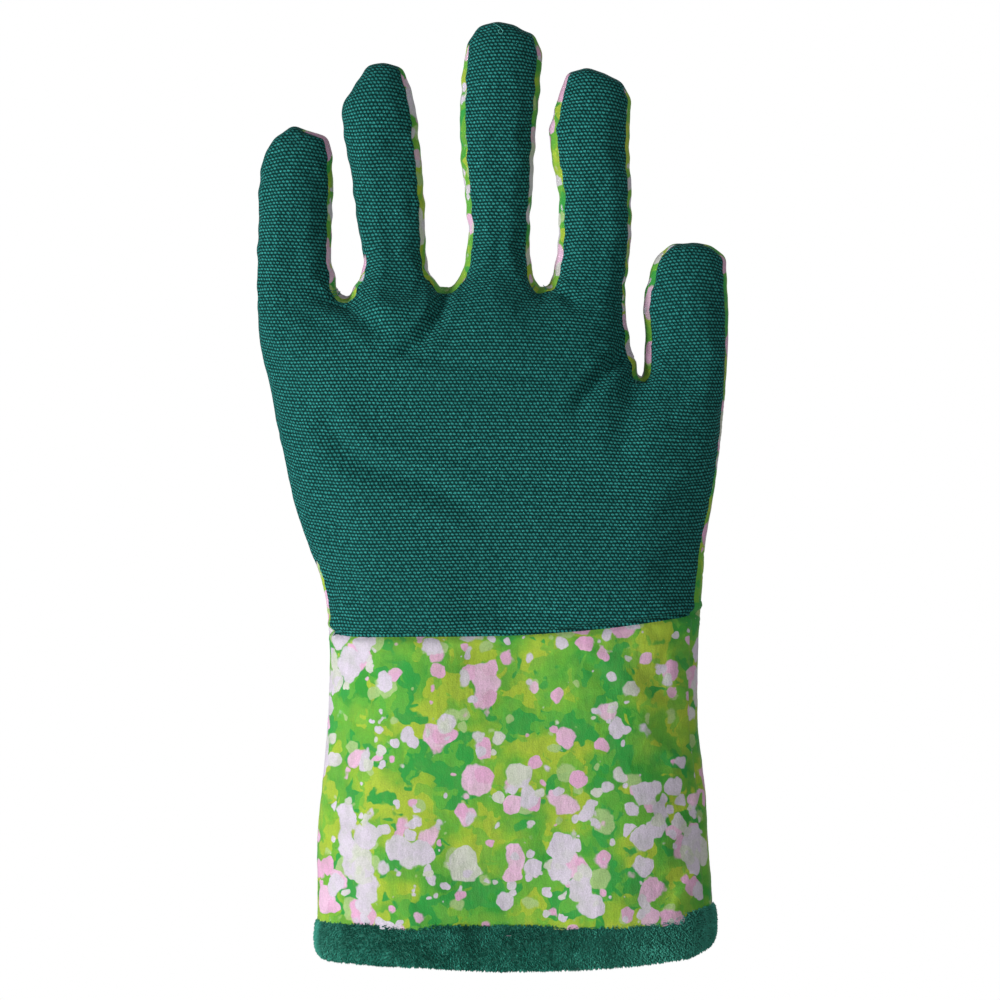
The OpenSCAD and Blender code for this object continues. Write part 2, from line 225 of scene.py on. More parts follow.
class Sheet:
    """A flat sheet of triangles inside the outline, with a label on every point."""

    # The outline's own points have label 0, the rings inside it 1 and up, the others these two.
    SEAM = 8
    INNER = 9

    def __init__(self, path, ring_offsets, seam_lines):
        self.points, self.edges, self.labels = [], [], []
        across = inward(path)
        floor = path[0, 1]
        ring_ends = []
        for label, offset in enumerate(ring_offsets):
            ring = path[:, :2] + across * offset[:, None]
            ring[:, 1] = np.maximum(ring[:, 1], floor)
            ring[0, 1] = ring[-1, 1] = floor
            first = self.add(ring, label)
            ring_ends.append((ring[0, 0], first, ring[-1, 0], first + len(ring) - 1))
        bottom = [(x, i) for x, i, _, _ in ring_ends] + [(x, i) for _, _, x, i in ring_ends]
        left, right = ring_ends[-1][0], ring_ends[-1][2]
        gap = 0.6 * GRID_STEP
        span = np.arange(left + GRID_STEP, right - gap, GRID_STEP)
        for x in span:
            self.points.append((x, floor))
            self.labels.append(self.INNER)
            bottom.append((x, len(self.points) - 1))
        bottom.sort()
        self.edges += [(a[1], b[1]) for a, b in zip(bottom[:-1], bottom[1:])]
        for line in seam_lines:
            self.add(line, self.SEAM)
        grid = grid_points(path[:, :2].min(axis=0), path[:, :2].max(axis=0), GRID_STEP)
        grid = grid[inside_outline(grid, path)]
        distance, index = nearest_on_path(grid, path)
        clear = distance > ring_offsets[-1][index] + gap
        clear &= grid[:, 1] > floor + gap
        for line in seam_lines:
            clear &= nearest_on_path(grid, line)[0] > 0.55 * GRID_STEP
        for p in grid[clear]:
            self.points.append(tuple(p))
            self.labels.append(self.INNER)
        self.triangulate()

    def add(self, line, label):
        first = len(self.points)
        self.points += [tuple(p[:2]) for p in line]
        self.labels += [label] * len(line)
        self.edges += [(first + i, first + i + 1) for i in range(len(line) - 1)]
        return first

    def triangulate(self):
        out = delaunay_2d_cdt([Vector(p) for p in self.points], self.edges, [], 1, 0.02)
        self.xz = np.array([tuple(v) for v in out[0]])
        self.tris = np.array(out[2])
        labels = [min((self.labels[i] for i in origin), default=self.INNER) for origin in out[3]]
        self.label = np.array(labels)
        a, b, c = (self.xz[self.tris[:, k]] for k in range(3))
        turn = (b - a)[:, 0] * (c - a)[:, 1] - (b - a)[:, 1] * (c - a)[:, 0]
        self.tris = self.tris[np.abs(turn) > 1e-5]
        turn = turn[np.abs(turn) > 1e-5]
        self.tris[turn < 0] = self.tris[turn < 0][:, ::-1]

    def fullness(self):
        """How far the sheet swells: the root of a damped Poisson field that is 0 at the outline."""
        edges, total, area = stiffness(self.xz, self.tris)
        damped = total + area / FULLNESS_REACH ** 2
        return np.sqrt(np.maximum(balance(edges, damped, area, self.label != 0), 0))


def area_twice(u, v):
    if u.shape[1] == 2:
        return np.abs(u[:, 0] * v[:, 1] - u[:, 1] * v[:, 0])
    return np.linalg.norm(np.cross(u, v), axis=1)


def stiffness(points, triangles):
    """How a mesh's points hold each other: edges with weights, each point's total, its area."""
    rows, cols, weights = [], [], []
    count = len(points)
    total, area = np.zeros(count), np.zeros(count)
    for k in range(3):
        i, j, o = (triangles[:, (k + m) % 3] for m in range(3))
        u, v = points[i] - points[o], points[j] - points[o]
        twice = area_twice(u, v)
        cotangent = np.clip((u * v).sum(axis=1) / np.maximum(twice, 1e-9), -6, 6) / 2
        rows += [i, j]
        cols += [j, i]
        weights += [cotangent, cotangent]
        total += np.bincount(i, cotangent, count) + np.bincount(j, cotangent, count)
        area += np.bincount(o, twice / 6, count)
    return (np.concatenate(rows), np.concatenate(cols), np.concatenate(weights)), total, area


def balance(edges, total, load, free):
    """The field in which every free point balances its load, by conjugate gradients."""
    rows, cols, weights = edges
    count = len(total)
    whole = np.maximum(total, 1e-6)

    def apply(field):
        field = np.where(free, field, 0)
        return np.where(free, total * field - np.bincount(rows, weights * field[cols], count), 0)

    field = np.zeros(count)
    rest = np.where(free, load, 0)
    scaled = rest / whole
    move, size = scaled.copy(), (rest * scaled).sum()
    start = np.abs(rest).max()
    for _ in range(900):
        pull = apply(move)
        step = size / (move * pull).sum()
        field += step * move
        rest -= step * pull
        if np.abs(rest).max() < 1e-7 * start:
            break
        scaled = rest / whole
        size, old = (rest * scaled).sum(), size
        move = scaled + move * size / old
    return field


def cut_sheets():
    """The outline, the wrist seam, and the flat sheets of the palm side and of the back."""
    path = puckered(smooth_path(OUTLINE, POINT_STEP))
    strip = strip_widths(path)
    seam = smooth_path(WRIST_SEAM, 1.2)
    middle = seam[:, :2]
    distance, index = nearest_on_path(middle, path)
    inner = inside_outline(middle, path) & (distance > strip[index] + 1.1)
    middle = middle[inner]
    seam_lines = [middle + (0, shift) for shift in (-SEAM_ROW, 0, SEAM_ROW)]
    edge = 0 * strip
    front_rings = [edge, 0.42 * strip, strip, strip + 0.7, strip + 1.7, strip + 3.0]
    back_rings = [edge + inset for inset in (0, 0.3, 0.9, 1.9, 3.2)]
    return path, seam, Sheet(path, front_rings, seam_lines), Sheet(path, back_rings, [])


def normals_of(points, faces):
    """Smooth vertex normals of a mesh of triangles or quads, weighted by area."""
    corner = [points[faces[:, k]] for k in range(faces.shape[1])]
    last = corner[3] if faces.shape[1] == 4 else corner[2]
    flat = np.cross(corner[1] - corner[0], last - corner[0])
    flat = flat + np.cross(corner[2] - corner[1], last - corner[1])
    total = np.zeros_like(points)
    for k in range(faces.shape[1]):
        for axis in range(3):
            total[:, axis] += np.bincount(faces[:, k], flat[:, axis], len(points))
    return total / np.maximum(np.linalg.norm(total, axis=1), 1e-12)[:, None]


def linked(name, data):
    """A new object in the scene."""
    obj = bpy.data.objects.new(name, data)
    bpy.context.collection.objects.link(obj)
    return obj


def new_object(name, points, faces):
    """A mesh object in metres from points in millimetres."""
    mesh = bpy.data.meshes.new(name)
    mesh.from_pydata((np.asarray(points) * MM).tolist(), [], [list(map(int, f)) for f in faces])
    return linked(name, mesh)


def coordinates(mesh):
    out = np.empty(len(mesh.vertices) * 3, np.float32)
    mesh.vertices.foreach_get("co", out)
    return out.reshape(-1, 3).astype(float)


# What a triangle of the sewn glove belongs to.
CANVAS, CUFF_PANEL, BACK_PANEL = 0, 1, 2


def sew(path, seam, front, back):
    """Joins both swollen sheets at the outline.

    Returns the points, the triangles, the cloth of each triangle, and which points are sewn down.
    """
    depth_front, depth_back = front.fullness(), back.fullness()
    middle_finger = np.linalg.norm(front.xz - DEPTH_MEASURED_AT, axis=1).argmin()
    scale = FINGER_DEPTH / depth_front[middle_finger]
    front_points = np.stack([front.xz[:, 0], -scale * depth_front, front.xz[:, 1]], axis=1)
    back_points = np.stack([back.xz[:, 0], scale * depth_back, back.xz[:, 1]], axis=1)

    outline_front = np.flatnonzero(front.label == 0)
    target = np.arange(len(back.xz)) + len(front.xz)
    for i in np.flatnonzero(back.label == 0):
        near = np.linalg.norm(front.xz[outline_front] - back.xz[i], axis=1)
        target[i] = outline_front[near.argmin()]
    points = np.vstack([front_points, back_points])
    triangles = np.vstack([front.tris, target[back.tris][:, ::-1]])
    used, index = np.unique(triangles, return_inverse=True)
    points, triangles = points[used], index.reshape(triangles.shape)

    centre = front.xz[front.tris].mean(axis=1)
    distance, near = nearest_on_path(centre, path)
    labels = front.label[front.tris]
    on_strip = (labels <= 2).all(axis=1) & (labels < 2).any(axis=1)
    on_strip &= path[near, 2] > SHOWING_STRIP
    below = centre[:, 1] < np.interp(centre[:, 0], seam[:, 0], seam[:, 1])
    cloth_front = np.where(on_strip, BACK_PANEL, np.where(below, CUFF_PANEL, CANVAS))
    cloth = np.concatenate([cloth_front, np.full(len(back.tris), BACK_PANEL)])

    labels = np.concatenate([front.label, back.label])[used]
    is_front = used < len(front.xz)
    mouth = np.concatenate([front.xz, back.xz])[used][:, 1] < path[0, 1] + 0.1
    fixed = (labels <= np.where(is_front, 2, 1)) | mouth | (labels == Sheet.SEAM)
    return points, triangles, cloth, fixed


def settle(points, triangles, fixed):
    """Lets the cloth swell, with a little too much of it for its seams, so that it puckers."""
    obj = new_object("settling_cloth", points, triangles)
    group = obj.vertex_groups.new(name="sewn")
    group.add([int(i) for i in np.flatnonzero(fixed)], 1.0, "REPLACE")
    cloth = obj.modifiers.new("cloth", "CLOTH")
    settings = cloth.settings
    settings.quality = 6
    settings.mass = 0.25
    settings.tension_stiffness = settings.compression_stiffness = 12
    settings.shear_stiffness = 6
    settings.bending_stiffness = 0.6
    settings.air_damping = 3
    settings.use_pressure = True
    settings.uniform_pressure_force = 1.2
    settings.shrink_min = settings.shrink_max = -0.03
    settings.vertex_group_mass = "sewn"
    settings.effector_weights.gravity = 0
    cloth.collision_settings.use_collision = False
    cloth.collision_settings.use_self_collision = False
    cloth.point_cache.frame_start, cloth.point_cache.frame_end = 1, CLOTH_FRAMES
    scene = bpy.context.scene
    scene.frame_start, scene.frame_end = 1, CLOTH_FRAMES
    for step in range(1, CLOTH_FRAMES + 1):
        scene.frame_set(step)
    evaluated = obj.evaluated_get(bpy.context.evaluated_depsgraph_get())
    settled = coordinates(evaluated.to_mesh()) / MM
    evaluated.to_mesh_clear()
    bpy.data.objects.remove(obj)
    scene.frame_set(1)
    move = settled - points
    length = np.maximum(np.linalg.norm(move, axis=1), 1e-9)
    return points + move * (MOST_TRAVEL * np.tanh(length / MOST_TRAVEL) / length)[:, None]


def unit(vectors):
    return vectors / np.maximum(np.linalg.norm(vectors, axis=1), 1e-9)[:, None]


def laid_weave(points, triangles):
    """Millimetres along the weave at each point, across the glove and towards the fingertips."""
    corner = [points[triangles[:, k]] for k in range(3)]
    normal = unit(np.cross(corner[1] - corner[0], corner[2] - corner[0]))
    facing = normals_of(points, triangles)[triangles].mean(axis=1)
    facing[:, 1] = np.minimum(facing[:, 1], -0.08)
    facing = unit(facing)
    across = unit(np.array([1.0, 0, 0]) - facing[:, :1] * facing)
    upward = np.cross(facing, across)
    edges, total, area = stiffness(points, triangles)
    weave = []
    for thread, axis in ((across, 0), (upward, 2)):
        load = np.zeros(len(points))
        for k in range(3):
            opposite = corner[(k + 2) % 3] - corner[(k + 1) % 3]
            share = (np.cross(normal, opposite) * thread).sum(axis=1) / 2
            load += np.bincount(triangles[:, k], share, len(points))
        used = area > 0
        load[used] -= load[used].mean()
        field = balance(edges, total, load, used)
        weave.append(field - (field - points[:, axis])[used].mean())
    return np.stack(weave, axis=1)


def refined(points, triangles, cloth, pattern):
    """The glove with four times the detail: points, quads, cloth and the pattern per corner."""
    obj = new_object("refined_cloth", points, triangles)
    mesh = obj.data
    layer = mesh.uv_layers.new(name="pattern")
    layer.data.foreach_set("uv", pattern[triangles].reshape(-1).astype(np.float32))
    mesh.polygons.foreach_set("material_index", cloth.astype(np.int32))
    for number in range(3):
        mesh.materials.append(None)
    smooth = obj.modifiers.new("smooth", "SUBSURF")
    smooth.levels = smooth.render_levels = 1
    evaluated = obj.evaluated_get(bpy.context.evaluated_depsgraph_get())
    fine = evaluated.to_mesh()
    fine_points = coordinates(fine) / MM
    quads = np.empty(len(fine.loops), np.int32)
    fine.loops.foreach_get("vertex_index", quads)
    flat = np.empty(len(fine.loops) * 2, np.float32)
    fine.uv_layers["pattern"].data.foreach_get("uv", flat)
    kind = np.empty(len(fine.polygons), np.int32)
    fine.polygons.foreach_get("material_index", kind)
    evaluated.to_mesh_clear()
    bpy.data.objects.remove(obj)
    return fine_points, quads.reshape(-1, 4), kind, flat.reshape(-1, 4, 2).astype(float)


# Folds pressed into the palm: the points of the valley, its half width and its depth, millimetres.
FOLDS = [
    ([(-57, 198), (-50, 195.5), (-44, 190.5), (-37, 185)], 2.6, 2.0),
    ([(-20.8, 200), (-22.5, 192.5), (-26.5, 185.5), (-32, 181.5), (-38, 179.5)], 1.9, 2.3),
    ([(-32, 180.5), (-18, 177.5), (-5, 175.6), (7, 173.2), (15, 170.5)], 1.5, 0.7),
    ([(4, 202), (8.6, 195)], 1.3, 0.9),
    ([(10.5, 200), (18.5, 194.8)], 1.3, 0.9),
    ([(32.5, 182), (27, 176.2), (21.5, 170), (15, 161.5)], 1.9, 1.9),
    ([(36.4, 173), (33, 165), (31.2, 156), (30.6, 147)], 3.2, 1.1),
    ([(-56, 164), (-51, 153.5), (-42, 147.3), (-29, 143.5), (-19, 139), (-6, 131.5)], 3.0, 1.7),
    ([(1, 144), (12, 142), (22, 141.2)], 1.5, 0.45),
    ([(6, 149.5), (22, 147.5)], 1.5, 0.4),
    ([(22, 141), (37, 140.5), (49, 146)], 2.0, 0.7),
    ([(8, 133), (28, 132.5)], 1.5, 0.35),
    ([(-72, 162), (-61, 155)], 1.6, 0.4),
]
# Soft swells between the folds: centre, half widths across and up, height, millimetres.
SWELLS = [
    (-66, 190, 9, 12, 0.8), (-33, 193, 9, 8, 1.3), (-5, 190, 12, 12, 1.0), (23, 190, 9, 14, 1.0),
    (-60, 135, 9, 22, 0.8), (50, 150, 11, 26, 0.9), (-38, 165, 15, 9, -1.0),
    (-30, 120, 14, 12, 0.5),
]
# The folds and swells start this high, above the wrist seam, in millimetres.
FOLDED_FROM = 104
# The side seam's ditch: its depth beside a strip of the given width or more, and its half width.
SIDE_DITCH, DEEP_BESIDE, SIDE_DITCH_WIDTH = 0.8, 1.3, 0.6
# The canvas is turned in this far above the wrist seam. Its section there, in millimetres: depth,
# height above the turn and half width of a ditch, then of the low ridges above and below it.
TURNED_IN_AT = 0.45
WRIST_SECTION = [(1.15, 0, 0.8), (-0.5, 2.2, 1.5), (-0.3, -2.4, 1.6)]
# Cloth nearer than this to the plane between palm and back is left alone by the ditches.
PALM_SIDE = -0.3


def press_folds(points, normals):
    """Presses the folds into the palm side and raises the swells between them."""
    on_palm = (points[:, 1] < 0) & (points[:, 2] > FOLDED_FROM)
    flat = points[:, [0, 2]]
    push = np.zeros(len(points))
    for line, half_width, depth in FOLDS:
        route = smooth_path([(x, z, 0) for x, z in line], 0.5)
        distance, index = nearest_on_path(flat, route)
        share = index / (len(route) - 1)
        fade = np.clip(np.sin(np.pi * np.clip(0.08 + 0.92 * share, 0, 1)) * 1.6, 0, 1)
        beyond = distance / half_width
        valley = np.exp(-beyond ** 1.5)
        lip = 0.35 * np.exp(-((beyond - 2.2) / 0.9) ** 2)
        push -= depth * fade * (valley - lip)
    for x, z, wide, high, rise in SWELLS:
        push += rise * np.exp(-((flat[:, 0] - x) / wide) ** 2 - ((flat[:, 1] - z) / high) ** 2)
    return points + normals * np.where(on_palm, push, 0)[:, None]


def sink_seams(points, normals, path, seam):
    """Sinks the cloth into a narrow ditch along the sewn lines on the palm side."""
    strip = strip_widths(path)
    side_seam = np.column_stack([path[:, :2] + inward(path) * strip[:, None], strip])
    finer = np.linspace(0, len(path) - 1, 6 * len(path))
    side_seam = resampled(finer, np.arange(len(path)), side_seam)
    flat = points[:, [0, 2]]
    to_side, index = nearest_on_path(flat, side_seam)
    ditch = SIDE_DITCH * np.clip(side_seam[index, 2] / DEEP_BESIDE, 0, 1)
    ditch *= np.exp(-(to_side / SIDE_DITCH_WIDTH) ** 2)
    above = flat[:, 1] - np.interp(flat[:, 0], seam[:, 0], seam[:, 1]) - TURNED_IN_AT
    turned = sum(
        depth * np.exp(-((above - height) / width) ** 2) for depth, height, width in WRIST_SECTION
    )
    return points - normals * np.where(points[:, 1] < PALM_SIDE, ditch + turned, 0)[:, None]


class Glove:
    """The finished outer surface, from which every cloth piece is cut."""

    def __init__(self):
        path, seam, front, back = cut_sheets()
        points, triangles, cloth, fixed = sew(path, seam, front, back)
        points = settle(points, triangles, fixed)
        front_triangles = triangles[:len(front.tris)]
        pattern = points[:, [0, 2]].copy()
        on_front = np.unique(front_triangles)
        pattern[on_front] = laid_weave(points, front_triangles)[on_front]
        self.coarse_triangles = triangles
        points, quads, kind, corners = refined(points, triangles, cloth, pattern)
        normals = normals_of(points, quads)
        points = press_folds(points, normals)
        points = sink_seams(points, normals, path, seam)
        self.points, self.quads, self.cloth, self.pattern = points, quads, kind, corners
        self.normals = normals_of(points, quads)


# ---- The pieces that the glove is cut into where it bends ----

# Height near which a finger's own cloth is cut off from the hand's, in millimetres.
ROOT_START = {"little": 198.4, "ring": 200.9, "middle": 200.9, "index": 200.3}
# The thumb's cloth starts this far beyond its knuckle. It leans away from the fingers.
THUMB_START = 2.2
THUMB_LEAN = math.radians(20)
# Lengths of cloth about the root knuckle and about the middle one, in millimetres: a digit's root
# and tip pieces are cut apart halfway between them.
FINGER_REACH = (14.0, 16.0)
THUMB_REACH = (11.0, 13.0)
# Left and right edges of each digit's cloth where it leaves the palm.
DIGIT_SPANS = {
    "little": (-90, -49.9), "ring": (-49.9, -20.4), "middle": (-20.4, 7.8), "index": (7.8, 36.7),
    "thumb": (36.7, 90),
}


def joint_place(name):
    joint = next(j for j in frame["joints"] if j["name"] == name)
    return np.array(joint["pos_m"]) / MM


def digit_bends(digit):
    """The root knuckle, the digit's direction, and the spans of its cloth about its root knuckle
    and its middle one.
    """
    is_thumb = digit == "thumb"
    root, middle = joint_place(digit + "_root_bend"), joint_place(digit + "_middle_bend")
    lean = THUMB_LEAN if is_thumb else 0
    upward = np.array([math.sin(lean), 0, math.cos(lean)])
    start = THUMB_START if is_thumb else ROOT_START[digit] - root[2]
    root_reach, middle_reach = THUMB_REACH if is_thumb else FINGER_REACH
    knuckle = (middle - root) @ upward
    low = (start, start + root_reach)
    high = (max(knuckle - middle_reach / 2, low[1] + 1), knuckle + middle_reach / 2)
    return root, upward, low, high


def zones_of(places):
    """0 on the hand, 1 and 2 on the first digit's root and tip, 3 and 4 on the next, and so on."""
    zone = np.zeros(len(places), int)
    for number, digit in enumerate(DIGITS):
        root, upward, low, high = digit_bends(digit)
        left, right = DIGIT_SPANS[digit]
        along = (places - root) @ upward
        own = (places[:, 0] > left) & (places[:, 0] <= right) & (along > low[0] - 1.0)
        zone[own] = 2 * number + 1
        zone[own & (along > (low[1] + high[0]) / 2)] = 2 * number + 2
    return zone


def store_rest(mesh, places):
    """Stores where every point lies at rest, in metres, for the materials."""
    rest = mesh.attributes.new("rest", "FLOAT_VECTOR", "POINT")
    rest.data.foreach_set("vector", places.reshape(-1).astype(np.float32))


def shell_object(name, points, faces, normals, thickness, weave=None):
    """A closed piece of cloth with smooth normals: its outside, its inside and a rim."""
    used, index = np.unique(faces, return_inverse=True)
    index = index.reshape(faces.shape)
    outside, facing = points[used], normals[used]
    inside = outside - facing * thickness
    count, corners = len(used), faces.shape[1]
    ends = np.stack([index, np.roll(index, -1, axis=1)], axis=2).reshape(-1, 2)
    key = ends[:, 0].astype(np.int64) * count + ends[:, 1]
    back_key = ends[:, 1].astype(np.int64) * count + ends[:, 0]
    border = np.flatnonzero(~np.isin(key, back_key))
    a, b = ends[border, 0], ends[border, 1]
    rim = np.stack([b, a, a + count, b + count], axis=1)
    polygons = index.tolist() + (index[:, ::-1] + count).tolist() + rim.tolist()
    mesh = bpy.data.meshes.new(name)
    mesh.from_pydata((np.vstack([outside, inside]) * MM).tolist(), [], polygons)
    obj = linked(name, mesh)
    store_rest(mesh, np.vstack([outside, outside]) * MM)
    sides = (facing[index], -facing[index[:, ::-1]], facing[rim % count])
    corner_normals = np.concatenate([side.reshape(-1, 3) for side in sides])
    if weave is not None:
        layer = mesh.uv_layers.new(name="weave")
        edge_of = border % corners
        face_of = border // corners
        at_a, at_b = weave[face_of, edge_of], weave[face_of, (edge_of + 1) % corners]
        sides = (weave, weave[:, ::-1], np.stack([at_b, at_a, at_a, at_b], axis=1))
        flat = np.concatenate([side.reshape(-1, 2) for side in sides])
        layer.data.foreach_set("uv", (flat * MM).reshape(-1).astype(np.float32))
    mesh.shade_smooth()
    mesh.normals_split_custom_set(corner_normals.tolist())
    return obj


def follow(obj, zone):
    """Ties a piece of the hand to the hand's body; any other piece only has its placement applied
    to its points.
    """
    if zone == 0:
        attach(obj, "hand")
        return
    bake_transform(obj)


def zone_name(zone):
    """The piece's own ending, and the ending of the frame's nodes that it stands for."""
    if zone == 0:
        return "hand", None
    digit = DIGITS[(zone - 1) // 2]
    return digit + ("_root" if zone % 2 else "_tip"), digit + ("_lower" if zone % 2 else "_upper")


CLOTH_THICKNESS = 0.7


def make_outer_cloth(glove, canvas, velour):
    """Canvas palm pieces, the printed back pieces and the printed cuff panel."""
    zone = zones_of(glove.points[glove.quads].mean(axis=1))
    wanted = [
        (CANVAS, "canvas", canvas, "teal_canvas", ["heel_canvas", "palm_canvas"]),
        (BACK_PANEL, "print", velour, "printed_velour", ["heel_print", "palm_print", "cuff_back"]),
    ]
    for cloth, word, material, slot, hand_nodes in wanted:
        for number in range(2 * len(DIGITS) + 1):
            mine = (glove.cloth == cloth) & (zone == number)
            ending, node = zone_name(number)
            obj = shell_object(f"{word}_{ending}", glove.points, glove.quads[mine], glove.normals,
                               CLOTH_THICKNESS, glove.pattern[mine])
            obj.data.materials.append(material)
            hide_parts(*(hand_nodes if number == 0 else [f"{node}_{word}"]))
            follow(obj, number)
    mine = glove.cloth == CUFF_PANEL
    cuff = shell_object("cuff_panel", glove.points, glove.quads[mine], glove.normals,
                        CLOTH_THICKNESS, glove.pattern[mine])
    cuff.data.materials.append(velour)
    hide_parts("cuff_front")
    follow(cuff, 0)


# The lining lies this far inside the outer cloth's face, and at least the gap off the plane
# between palm and back.
LINING_INSET, LINING_THICKNESS, LINING_GAP = 0.95, 0.75, 0.05
# The lining lies looser, and so deeper, above this height, in millimetres.
LOOSE_FROM, LOOSE_EXTRA = 50.0, 1.3


def make_lining(glove, cloth):
    """The lining, a little inside the outer cloth all the way to the fingertips."""
    triangles = glove.coarse_triangles
    count = triangles.max() + 1
    outer, facing = glove.points[:count], glove.normals[:count]
    loose = np.clip((outer[:, 2] - LOOSE_FROM) / 40, 0, 1) * LOOSE_EXTRA
    points = outer - facing * (LINING_INSET + loose)[:, None]
    side = np.where(outer[:, 1] < 0, -1.0, 1.0)
    points[:, 1] = side * np.maximum(side * points[:, 1], LINING_GAP + LINING_THICKNESS * 0.6)
    zone = zones_of(outer[triangles].mean(axis=1))
    for number in range(2 * len(DIGITS) + 1):
        ending, node = zone_name(number)
        mine = triangles[zone == number]
        obj = shell_object(f"lining_{ending}", points, mine, facing, LINING_THICKNESS)
        obj.data.materials.append(cloth)
        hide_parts(*(["cuff_lining", "heel_lining", "palm_lining"] if number == 0
                           else [f"{node}_lining"]))
        follow(obj, number)


# ---- The plush hem ----

# Height of the hem band's upper and lower edge along its width: (across, up), in millimetres.
HEM_TOP = [(-60, 14.4), (-50, 14.2), (-10, 13.9), (13, 13.8), (36, 15.4), (50, 17.4), (60, 19.4)]
HEM_FOOT = [
    (-60, 4.2), (-56, 3.0), (-40, 2.2), (-25, 1.6), (-5, 0.5), (18, 1.0), (36, 2.2), (51, 3.9),
    (57, 6.2), (60, 8.6),
]
# The band's section: (share of the height, distance out from the cloth's face), from the top edge
# over the outside and the foot to the top edge inside.
HEM_SECTION = [
    (0.97, -0.6), (1.0, -0.1), (0.95, 0.3), (0.82, 0.6), (0.6, 0.8), (0.4, 0.8), (0.22, 0.5),
    (0.09, 0.0), (0.0, -0.9), (0.0, -1.7), (0.08, -2.7), (0.2, -3.3), (0.4, -3.6), (0.7, -3.6),
    (0.95, -3.3), (1.0, -2.8), (0.97, -1.7),
]
# Number of cuts round the band, and height under which the glove's points give its loop.
HEM_CUTS, LOOP_BELOW = 260, 14.0
# Half the mouth's width and depth, about, and the number of directions in which it is measured.
MOUTH_WIDE, MOUTH_DEEP, DIRECTIONS = 58, 14, 180


def mouth_loop(glove, count):
    """The glove's outer section at the hem, as evenly spaced points with outward directions."""
    low = glove.points[glove.points[:, 2] < LOOP_BELOW]
    wide, deep = low[:, 0] / MOUTH_WIDE, low[:, 1] / MOUTH_DEEP
    angle = np.arctan2(deep, wide)
    steps = np.linspace(-np.pi, np.pi, DIRECTIONS + 1)
    reach = np.zeros(DIRECTIONS)
    for k in range(DIRECTIONS):
        near = (angle >= steps[k]) & (angle < steps[k + 1])
        reach[k] = np.hypot(wide[near], deep[near]).mean() if near.any() else np.nan
    known = np.flatnonzero(~np.isnan(reach))
    reach = np.interp(np.arange(DIRECTIONS), known, reach[known], period=DIRECTIONS)
    for _ in range(3):
        reach = (np.roll(reach, 1) + 2 * reach + np.roll(reach, -1)) / 4
    middle = (steps[:-1] + steps[1:]) / 2
    across, back = MOUTH_WIDE * np.cos(middle), MOUTH_DEEP * np.sin(middle)
    loop = np.stack([across * reach, back * reach], axis=1)
    closed = np.vstack([loop, loop[:1]])
    along = distance_along(closed)
    even = resampled(np.linspace(0, along[-1], count, endpoint=False), along, closed)
    run = np.roll(even, -1, axis=0) - np.roll(even, 1, axis=0)
    out = unit(np.stack([run[:, 1], -run[:, 0]], axis=1))
    return even, out


def make_hem(glove, plush, pile_plush):
    """The rounded plush band that binds the mouth."""
    count = HEM_CUTS
    loop, out = mouth_loop(glove, count)
    section = np.array(HEM_SECTION)[:, ::-1]
    top = np.interp(loop[:, 0], *zip(*HEM_TOP))
    foot = np.interp(loop[:, 0], *zip(*HEM_FOOT))
    rows = len(section)
    points = np.zeros((count, rows, 3))
    for k, (offset, share) in enumerate(section):
        points[:, k, :2] = loop + out * offset
        points[:, k, 2] = foot + (top - foot) * share
    i, k = np.meshgrid(np.arange(count), np.arange(rows), indexing="ij")
    a, b = i * rows + k, i * rows + (k + 1) % rows
    c, d = ((i + 1) % count) * rows + (k + 1) % rows, ((i + 1) % count) * rows + k
    faces = np.stack([a, b, c, d], axis=2).reshape(-1, 4)
    obj = new_object("hem_band_plush", points.reshape(-1, 3), faces)
    add_rest(obj)
    obj.data.shade_smooth()
    smooth = obj.modifiers.new("rounded", "SUBSURF")
    smooth.levels = smooth.render_levels = 2
    make_plain(obj)
    obj.data.materials.append(plush)
    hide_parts("hem_band")
    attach(obj, "hand")
    pile = make_pile(obj)
    pile.data.materials.clear()
    pile.data.materials.append(pile_plush)
    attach(pile, "hand")


# The plush pile's tufts, in metres. A leaning tuft tips over by a share of its length.
PILE = {"Tufts per square metre": 5.6e6, "Length": 0.0007, "Width": 0.00036, "Lean": 0.42}


def put(tree, socket, value):
    """Gives a socket its link or its value."""
    if isinstance(value, bpy.types.NodeSocket):
        tree.links.new(value, socket)
    else:
        socket.default_value = value


def add_node(tree, kind, inputs=(), **settings):
    """A new node with its settings and its inputs."""
    node = tree.nodes.new(kind)
    for key, value in settings.items():
        setattr(node, key, value)
    for socket, value in dict(inputs).items():
        put(tree, node.inputs[socket], value)
    return node


